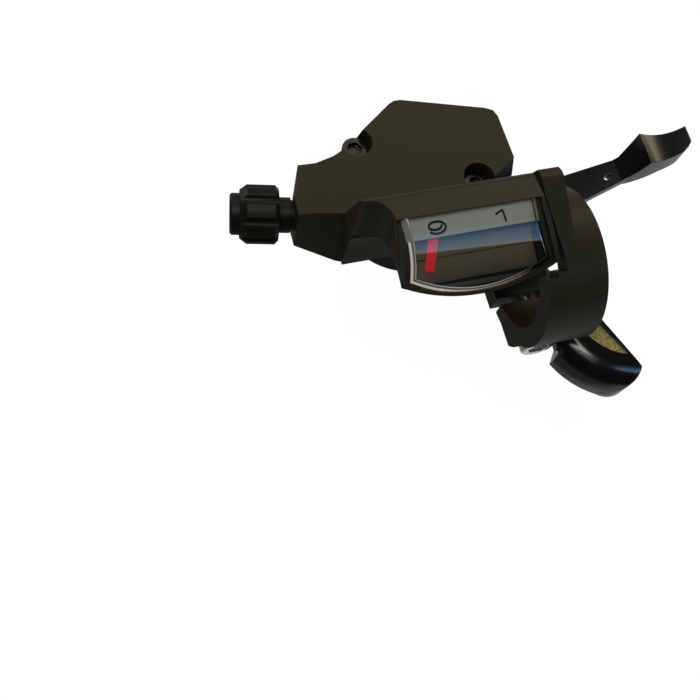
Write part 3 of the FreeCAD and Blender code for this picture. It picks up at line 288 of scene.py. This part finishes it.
def needle_paint(name, red, black, painted_glow):
    """Red on the needle's tip, and black on the arm that carries it under the strip; the red tip also gives off a
    faint painted light, though it is no lamp.
    """
    finish, shader, place = new_finish(name)
    drop = place_in_window(place)[1]
    tip = drop.between(*RED_STARTS, 0.0, 1.0)
    plug(shader, "Base Color", tip.blend(shade(black), shade(red)))
    # Painted light: the red tip gives off a faint red light of its own
    plug(shader, "Emission Color", tip.blend((0, 0, 0, 1), shade(red)))
    plug(shader, "Emission Strength", painted_glow)
    plug(shader, "Specular IOR Level", 0.25)
    plug(shader, "Roughness", place.noise(900.0, 2.0) * 0.10 + 0.30)
    return finish


def lens_side_painted_light(name):
    """The chamfer of the clear lens, coloured with painted light: bright painted highlight stripes that also give off
    light, painted shade between them, a painted blue-grey reflection at its outboard end and a painted silver
    reflection beside the label.
    """
    finish, shader, place = new_finish(name)
    across, drop, height = place_in_window(place)
    crown = drop * (WINDOW_CHORD - drop) / (2 * WINDOW_CROWN)
    level = (height - crown + LENS_THICK) / LENS_THICK
    # Painted light: bright highlight stripes with painted shade between them, by height through the chamfer
    painted_highlight_lines = place.node("ShaderNodeValToRGB", {"stops": (
        (0.20, (0.02, 0.02, 0.02, 1)), (0.28, (0.66, 0.61, 0.49, 1)), (0.52, (0.78, 0.74, 0.62, 1)),
        (0.64, (0.20, 0.18, 0.17, 1)), (0.80, (0.05, 0.04, 0.04, 1)), (0.97, (0.45, 0.45, 0.45, 1)))}, {0: level})
    # Painted reflections: blue-grey towards the outboard end, silver beside the label
    painted_line_fade = across.between(*PAINTED_LINE_FADES, 1.0, 0.0)
    silver = drop.between(*PAINTED_SILVER_ENDS, 1.0, 0.0)
    plug(shader, "Base Color", silver.blend(painted_line_fade.blend((0.10, 0.115, 0.14, 1), painted_highlight_lines), (0.34, 0.335, 0.31, 1)))
    # Painted light: the highlight stripes on the inboard chamfer also give off light
    plug(shader, "Emission Color", (painted_line_fade * (1.0 - silver)).blend((0, 0, 0, 1), painted_highlight_lines))
    plug(shader, "Emission Strength", 0.55)
    plug(shader, "Metallic", 1.0 - silver * 0.9)
    plug(shader, "Roughness", silver * 0.3 + 0.16)
    return finish


SHELL = moulded("olive_black_shell", (0.026, 0.0235, 0.0112), 0.46, 0.10, 0.10, gloss=0.20)
COVER = moulded("black_cover", (0.012, 0.012, 0.011), 0.45, 0.12, 0.10)
LEVER = moulded("gloss_black_lever", (0.0045, 0.0048, 0.0052), 0.17, 0.02, 0.12, gloss=0.9)
# The grip's pebbled relief and specks are its own; its tan colour is a painted warm sheen
GRIP_PAINTED_SHEEN = speckled("tan_grip_painted_sheen", (0.34, 0.285, 0.110), 0.55)
BARREL = moulded("barrel_black", (0.0085, 0.0080, 0.0052), 0.40, 0.06, 0.12, gloss=0.18)
STRIP = moulded("strip_silver", (0.45, 0.45, 0.385), 0.45, 0.02, 0.04)
DIAL = moulded("dial_brown", (0.165, 0.138, 0.080), 0.50, 0.03, 0.08)
NUMBER = moulded("number_black", (0.010, 0.010, 0.010), 0.50, 0.02, 0.05)
NEEDLE = needle_paint("needle_red", (0.80, 0.032, 0.045), (0.010, 0.010, 0.010), 0.14)
SPOOL = moulded("spool_grey", (0.22, 0.22, 0.22), 0.50, 0.06, 0.06)
STEEL = metal("pressed_steel", (0.42, 0.42, 0.43), 0.34, 0.12)
BRIGHT = metal("bright_plating", (0.78, 0.77, 0.75), 0.16, 0.08)
BRASS = metal("bush_brass", (0.72, 0.55, 0.26), 0.28, 0.10)
LENS = clear("window_clear", (0.94, 0.96, 0.98), least_gloss=0.01)
LENS_EDGE = metal("window_edge", (0.92, 0.92, 0.90), 0.14, 0.02)
# The lens's chamfer is coloured with painted highlights, painted shade and painted reflections
LENS_SIDE_PAINTED_LIGHT = lens_side_painted_light("window_side_painted_light")
LENS_BACK = clear("window_back", (0.98, 0.98, 0.98))
# Painted shade: the screws' steel is near-black to stand in for the shade deep in their notches
SHADE_DARKENED_STEEL = metal("shade_darkened_steel", (0.040, 0.040, 0.038), 0.28, 0.10)

FINISHES = {
    SHELL: ("housing", "clamp_band"),
    COVER: ("lower_cover",),
    LEVER: ("main_lever", "release_lever"),
    BARREL: ("barrel_adjuster",),
    STEEL: ("base_plate", "pivot_axle", "hold_pawl_pin", "drive_pawl_pin", "hold_pawl", "drive_pawl",
            "drive_sleeve", "ratchet_wheel", "spool_spring", "release_lever_spring", "main_lever_spring"),
    BRIGHT: ("clamp_screw", "clamp_bolt", "axle_washer", "axle_nut"),
    SHADE_DARKENED_STEEL: ("cover_screws", "lower_cover_screws"),
    BRASS: ("spool_bush",),
    LENS: ("display_lens",),
    STRIP: ("number_strip",),
    DIAL: ("dial_plate",),
    NEEDLE: ("indicator_needle",),
    SPOOL: ("cable_spool",),
}
BODY_OF = {node: body for body, nodes in frame["record"]["behaviour"]["bodies"].items() for node in nodes}


# Modelling steps

def wear(piece, *finishes):
    """Give a piece its finishes; the first one covers all of it."""
    piece.data.materials.clear()
    for finish in finishes:
        piece.data.materials.append(finish)


def pick_only(piece):
    """Make one object the only selected one."""
    bpy.ops.object.select_all(action="DESELECT")
    piece.select_set(True)
    bpy.context.view_layer.objects.active = piece


@contextmanager
def editing(piece, selection="SELECT"):
    """Edit one object's mesh, with all or nothing of it selected at first, or as it was."""
    pick_only(piece)
    bpy.ops.object.mode_set(mode="EDIT")
    if selection:
        bpy.ops.mesh.select_all(action=selection)
    yield
    bpy.ops.object.mode_set(mode="OBJECT")


def apply_modifier(piece, kind, **settings):
    """Add a modifier and apply it at once."""
    pick_only(piece)
    modifier = piece.modifiers.new(kind.lower(), kind)
    for name, setting in settings.items():
        setattr(modifier, name, setting)
    bpy.ops.object.modifier_apply(modifier=modifier.name)


def combine(piece, cutter, operation):
    """Cut a piece with another one, which is then gone."""
    apply_modifier(piece, "BOOLEAN", operation=operation, solver="EXACT", object=cutter)
    bpy.data.objects.remove(cutter)


def smooth(piece, angle):
    """Shade curved faces smooth and keep flat faces flat."""
    pick_only(piece)
    bpy.ops.object.shade_smooth_by_angle(angle=angle)
    apply_modifier(piece, "WEIGHTED_NORMAL", keep_sharp=True)


def in_window(along, drop, height):
    """A point by its place along the bar, its way down the window and its height over the window's plane."""
    return Vector((along, *BROW)) + DOWN * drop + OUT * height


def slice_off(piece, place, normal):
    """Cut away what lies in front of a plane, and close the cut."""
    with editing(piece):
        bpy.ops.mesh.bisect(plane_co=place, plane_no=normal, use_fill=False, clear_outer=True)
        bpy.ops.mesh.edge_face_add()
        bpy.ops.mesh.select_all(action="SELECT")
        bpy.ops.mesh.normals_make_consistent(inside=False)


def crowned_slab(name, left, right, top, end, reach, depth, thick):
    """A slab that follows the window's crown, from a depth under it downwards, between two cuts across it."""
    half = WINDOW_CHORD / 2
    centre = in_window(0, half, -math.sqrt(WINDOW_CROWN ** 2 - half ** 2))
    start = math.asin(half / WINDOW_CROWN) + math.radians(2)
    sweep = start + math.asin((reach - half) / WINDOW_CROWN)
    radius = WINDOW_CROWN - depth - thick / 2
    lean = math.pi / 2 + WINDOW_TILT - start
    bpy.ops.object.select_all(action="DESELECT")
    bpy.ops.mesh.primitive_plane_add(size=1)
    piece = bpy.context.object
    piece.name = name
    piece.scale = (right - left, thick, 1)
    piece.rotation_euler = (lean, 0, 0)
    piece.location = ((left + right) / 2, centre.y + radius * math.cos(lean), centre.z + radius * math.sin(lean))
    bpy.ops.object.transform_apply(location=True, rotation=True, scale=True)
    with editing(piece):
        bpy.ops.mesh.delete(type="ONLY_FACE")
        bpy.ops.mesh.select_all(action="SELECT")
        bpy.ops.mesh.spin(steps=72, angle=-sweep, center=centre, axis=(1, 0, 0))
        bpy.ops.mesh.select_all(action="SELECT")
        bpy.ops.mesh.remove_doubles(threshold=SLAB_WELD)
    slice_off(piece, in_window(0, top, 0), -DOWN)
    slice_off(piece, in_window(0, end, 0), DOWN)
    return piece


def broken_edges(node, width, segments=3, cutter=None):
    """A copy of a solid with its sharp edges broken, as a moulded or tumbled piece has them."""
    piece = bpy.data.objects.new(node + "_finished", frame["nodes"][node].data.copy())
    bpy.context.scene.collection.objects.link(piece)
    with editing(piece):
        bpy.ops.mesh.remove_doubles(threshold=SOLID_WELD)
    if cutter is not None:
        combine(piece, cutter, "DIFFERENCE")
    with editing(piece):
        bpy.ops.mesh.dissolve_limited(angle_limit=FLAT_WITHIN)
    apply_modifier(piece, "BEVEL", width=width, segments=segments, limit_method="ANGLE",
                   angle_limit=SHARP_OVER, use_clamp_overlap=True)
    smooth(piece, SMOOTH_SOLID)
    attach(piece, BODY_OF[node])
    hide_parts(node)
    return piece


def line_faces(piece, finish, inside):
    """Give a second finish to the faces that a test picks."""
    piece.data.materials.append(finish)
    for face in piece.data.polygons:
        if inside(face):
            face.material_index = 1


for finish, nodes in FINISHES.items():
    for node in nodes:
        wear(frame["nodes"][node], finish)


# Edges broken as on the real pieces, with the rim round the lens left lower than the lens

above_rim = crowned_slab("above_rim", left=RIM_LEFT, right=RIM_RIGHT, top=RIM_TOP, end=RIM_END,
                         reach=SLAB_REACH, depth=-RIM_HIGH, thick=RIM_HIGH + RIM_LOW)
housing = broken_edges("housing", 0.25 * MM, cutter=above_rim)
broken_edges("clamp_band", 0.70 * MM, 4)
main_lever = broken_edges("main_lever", 0.40 * MM)
broken_edges("release_lever", 0.30 * MM)
broken_edges("barrel_adjuster", 0.45 * MM)
broken_edges("clamp_bolt", 0.20 * MM)
broken_edges("cover_screws", 0.20 * MM)


# Brown liner on the floor of the display, and the grip in the sunken top of the thumb lever's blade, whose tan colour
# is a painted warm sheen

def on_display_floor(face):
    """Whether a face of the housing is part of the round floor under the display."""
    x, y, z = face.center
    return (LINER_ENDS[0] < x < LINER_ENDS[1] and z > LINER_OVER
            and LINER_RADII[0] < math.hypot(y, z) < LINER_RADII[1])


def in_sunken_top(face):
    """Whether a face of the thumb lever is the floor of its blade's sunken top."""
    return face.normal.z > GRIP_LEVEL_FACE and GRIP_LEVELS[0] < face.center.z < GRIP_LEVELS[1]


line_faces(housing, DIAL, on_display_floor)
line_faces(main_lever, GRIP_PAINTED_SHEEN, in_sunken_top)


# Lens and number strip

def make_lens():
    """The clear lens: crowned, chamfered on both sides and along its bowed lower edge."""
    spare = 1 * MM
    lens = crowned_slab("lens_clear", left=LENS_LEFT - spare, right=LENS_RIGHT + LENS_FLARE + spare,
                        top=LENS_TOP, end=LENS_END, reach=SLAB_REACH, depth=0, thick=LENS_THICK)
    skew = (ALONG - DOWN * LENS_FLARE / LENS_DROP).normalized()
    slice_off(lens, in_window(LENS_LEFT, 0, LENS_FOOT), OUT * LENS_LEAN - ALONG)
    slice_off(lens, in_window(LENS_RIGHT, 0, LENS_FOOT), OUT * LENS_LEAN + skew)
    half = (LENS_RIGHT + LENS_FLARE - LENS_LEFT) / 2
    high = 4 * MM
    bow_centre = LENS_DROP - math.sqrt(LENS_ARC ** 2 - half ** 2)
    bpy.ops.object.select_all(action="DESELECT")
    bpy.ops.mesh.primitive_cone_add(
        vertices=360, radius1=LENS_ARC, radius2=LENS_ARC - high * LENS_LEAN, depth=high,
        rotation=(WINDOW_TILT, 0, 0), location=in_window(LENS_LEFT + half, bow_centre, LENS_FOOT + high / 2))
    combine(lens, bpy.context.object, "INTERSECT")
    wear(lens, LENS, LENS_SIDE_PAINTED_LIGHT, LENS_EDGE, LENS_BACK)
    bevel_lens(lens)
    smooth(lens, SMOOTH_CROWN)
    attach(lens, BODY_OF["display_lens"])
    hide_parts("display_lens")


def bevel_lens(lens):
    """Finish the lens's chamfer, underside and the fine bevel between its top and its chamfer."""
    top, side, edge_line, back = range(4)
    with editing(lens, "DESELECT"):
        bpy.ops.mesh.select_mode(type="EDGE")
    faces_at = {}
    for face in lens.data.polygons:
        face.material_index = side if CHAMFER_LOOKS[0] < face.normal.dot(OUT) < CHAMFER_LOOKS[1] else top
        for key in face.edge_keys:
            faces_at.setdefault(key, []).append(face)
    for edge in lens.data.edges:
        beside = faces_at.get(edge.key, [])
        kinds = sorted(face.material_index for face in beside)
        edge.select = kinds == [top, side] and max(face.normal.dot(OUT) for face in beside) > TOP_LOOKS
    for face in lens.data.polygons:
        if face.normal.dot(OUT) < BACK_LOOKS:
            face.material_index = back
    with editing(lens, None):
        bpy.ops.mesh.bevel(offset=LENS_BEVEL, offset_type="WIDTH", segments=2, affect="EDGES", material=edge_line)


def make_strip():
    """The silver strip under the lens."""
    strip = crowned_slab("number_strip_smooth", left=STRIP_LEFT, right=STRIP_RIGHT, top=STRIP_TOP, end=STRIP_END,
                         reach=STRIP_REACH, depth=STRIP_UNDER, thick=STRIP_THICK)
    wear(strip, STRIP)
    smooth(strip, SMOOTH_CROWN)
    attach(strip, BODY_OF["number_strip"])
    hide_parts("number_strip")
    return strip


make_lens()
strip_piece = make_strip()


# Numbers on the strip

def stamped_number(name, along, drop, stroke):
    """A figure printed on the strip: a line by its points in millimetres across and up, laid on the crown."""
    data = bpy.data.curves.new(name, "CURVE")
    data.dimensions = "3D"
    data.bevel_depth = STROKE
    data.bevel_resolution = 2
    line = data.splines.new("POLY")
    line.points.add(len(stroke) - 1)
    for point, (across, up) in zip(line.points, stroke):
        point.co = (*in_window(along + across * MM, drop - up * MM, 0), 1)
    piece = bpy.data.objects.new(name, data)
    bpy.context.scene.collection.objects.link(piece)
    pick_only(piece)
    bpy.ops.object.convert(target="MESH")
    piece = bpy.context.object
    apply_modifier(piece, "SHRINKWRAP", target=strip_piece, wrap_method="PROJECT", wrap_mode="ABOVE_SURFACE",
                   use_project_z=True, use_positive_direction=True, use_negative_direction=True, offset=INK_OVER)
    wear(piece, NUMBER)
    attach(piece, BODY_OF["number_strip"])


def bow(centre, reach, start, end, steps=30):
    """Points along part of an ellipse, by its angles in degrees."""
    turns = [math.radians(start + (end - start) * step / steps) for step in range(steps + 1)]
    return [(centre[0] + reach[0] * math.cos(turn), centre[1] + reach[1] * math.sin(turn)) for turn in turns]


stamped_number("number_nine", -25.2 * MM, 2.05 * MM,
               bow((0.0, 0.0), (1.62, 1.15), -145, 100) + bow((-0.28, 0.38), (1.22, 0.77), 100, 360))
stamped_number("number_one", -12.3 * MM, 1.85 * MM, [(-1.60, 0.45), (-0.20, 1.10), (-0.10, 0.60), (0.20, -1.15)])


# Studio

def camera_at(place, turn, lens):
    """The camera, by its place, its turn in degrees and its lens in millimetres."""
    data = bpy.data.cameras.new("photo_camera")
    data.lens = lens
    data.sensor_width = 36
    data.clip_start = 0.01
    camera = bpy.data.objects.new("photo_camera", data)
    camera.location = place
    camera.rotation_euler = Euler([math.radians(angle) for angle in turn], "XYZ")
    bpy.context.scene.collection.objects.link(camera)
    bpy.context.scene.camera = camera


def soft_box(name, place, side, radiance, colour):
    """A square studio light that faces the object, by its brightness."""
    data = bpy.data.lights.new(name, "AREA")
    data.shape = "RECTANGLE"
    data.size = side
    data.size_y = side
    data.energy = radiance * side * side * math.pi
    data.color = colour
    light = bpy.data.objects.new(name, data)
    light.visible_camera = False
    light.location = place
    light.rotation_euler = (Vector(AIM) - Vector(place)).to_track_quat("-Z", "Y").to_euler()
    bpy.context.scene.collection.objects.link(light)


def seen_by_eye(start, in_gloss):
    """What the camera sees straight, and how far the background is white: there and through glass, partly in gloss."""
    path = start.tree.nodes.new("ShaderNodeLightPath")
    eye, through, mirrored = (Wire(start.tree, path.outputs[kind]) for kind in
                              ("Is Camera Ray", "Is Transmission Ray", "Is Glossy Ray"))
    return eye, start.maths("MINIMUM", eye + through + mirrored * in_gloss, 1.0)


def make_floor():
    """A wide pale floor that keeps the object's soft shadow, paler in gloss towards its outboard side."""
    bpy.ops.object.select_all(action="DESELECT")
    bpy.ops.mesh.primitive_plane_add(size=FLOOR_SIDE, location=(0, 0, FLOOR_LEVEL))
    floor = bpy.context.object
    floor.name = "studio_floor"
    finish, shader, place = new_finish("pale_floor")
    tree = finish.node_tree
    across = place.node("ShaderNodeSeparateXYZ", {}, {0: place})
    eye, seen = seen_by_eye(place, across.between(*FLOOR_PALES, *FLOOR_GLOSS))
    plug(shader, "Base Color", eye.blend((0.25, 0.25, 0.25, 1), (1, 1, 1, 1)))
    plug(shader, "Roughness", 0.9)
    plug(shader, "Specular IOR Level", 0.0)
    white = place.node("ShaderNodeEmission", {}, {"Color": (1, 1, 1, 1), "Strength": FLOOR_GLOW})
    mixed = place.node("ShaderNodeMixShader", {},
                       {0: seen * FLOOR_WHITE, 1: Wire(tree, shader.outputs[0]), 2: white})
    plug(tree.nodes["Material Output"], "Surface", mixed)
    wear(floor, finish)


def make_world():
    """Dim, even surroundings, white where the camera looks straight at them."""
    world = bpy.data.worlds.new("studio")
    bpy.context.scene.world = world
    world.use_nodes = True
    tree = world.node_tree
    back = tree.nodes["Background"]
    plug(back, "Color", (1, 1, 1, 1))
    start = Wire(tree, tree.nodes.new("ShaderNodeTexCoord").outputs["Generated"])
    plug(back, "Strength", seen_by_eye(start, 0.0)[1] * (1 - SURROUND_LEVEL) + SURROUND_LEVEL)


def sky_panel(low_left, low_right, tall, away):
    """A tall panel seen in the lens: hazy along its slanted lower edge and a deeper blue above it."""
    low_left, low_right = Vector(low_left), Vector(low_right)
    along = (low_right - low_left).normalized()
    facing = (low_left - Vector(AIM)).normalized()
    rise = facing.cross(along).normalized()
    if rise.z < 0:
        rise = -rise
    bpy.ops.object.select_all(action="DESELECT")
    bpy.ops.mesh.primitive_plane_add(size=1)
    panel = bpy.context.object
    panel.name = "sky_panel"
    wide = (low_right - low_left).length + 2 * away
    middle = (low_left + low_right) / 2 + rise * tall / 2
    turn = Matrix((along, rise, along.cross(rise))).transposed()
    for point in panel.data.vertices:
        point.co = middle + turn @ Vector((point.co.x * wide, point.co.y * tall, 0))
    finish, shader, place = new_finish("sky_light")
    tree = finish.node_tree
    height = place.node("ShaderNodeVectorMath", {"operation": "DOT_PRODUCT"}, {0: place, 1: rise}, output=1)
    colour = place.node("ShaderNodeValToRGB", {"stops": (
        (0.0, (0.06, 0.05, 0.05, 1)), (0.035, (0.50, 0.48, 0.42, 1)), (0.09, (0.21, 0.38, 0.60, 1)),
        (0.40, (0.11, 0.26, 0.44, 1)), (0.66, (0.02, 0.03, 0.04, 1)))}, {0: (height - low_left.dot(rise)) / tall})
    light = place.node("ShaderNodeEmission", {}, {"Color": colour, "Strength": SKY_LEVEL})
    plug(tree.nodes["Material Output"], "Surface", light)
    tree.nodes.remove(shader)
    wear(panel, finish)
    panel.visible_camera = False


camera_at((-78.16 * MM, -62.41 * MM, 156.36 * MM), (20.942327, -7.8232, -14.527009), 46.767)
make_floor()
make_world()
sky_panel((0.244, -0.55, 0.691), (0.355, -0.55, 0.546), 0.40, 0.22)
soft_box("overhead", (-0.27, 0.03, 0.88), 0.50, 4.4, (1.0, 0.95, 0.82))
soft_box("warm_key", (0.34, 0.58, 0.60), 0.45, 2.8, (1.0, 0.86, 0.58))
soft_box("front_fill", (-0.25, -0.24, 0.85), 0.35, 0.8, (1.0, 0.98, 0.92))
soft_box("left_fill", (-0.75, -0.12, 0.06), 0.40, 0.20, (1.0, 1.0, 1.0))
soft_box("back_fill", (-0.35, 0.75, 0.22), 0.50, 2.4, (1.0, 0.97, 0.90))
bpy.context.scene.view_settings.view_transform = "Standard"
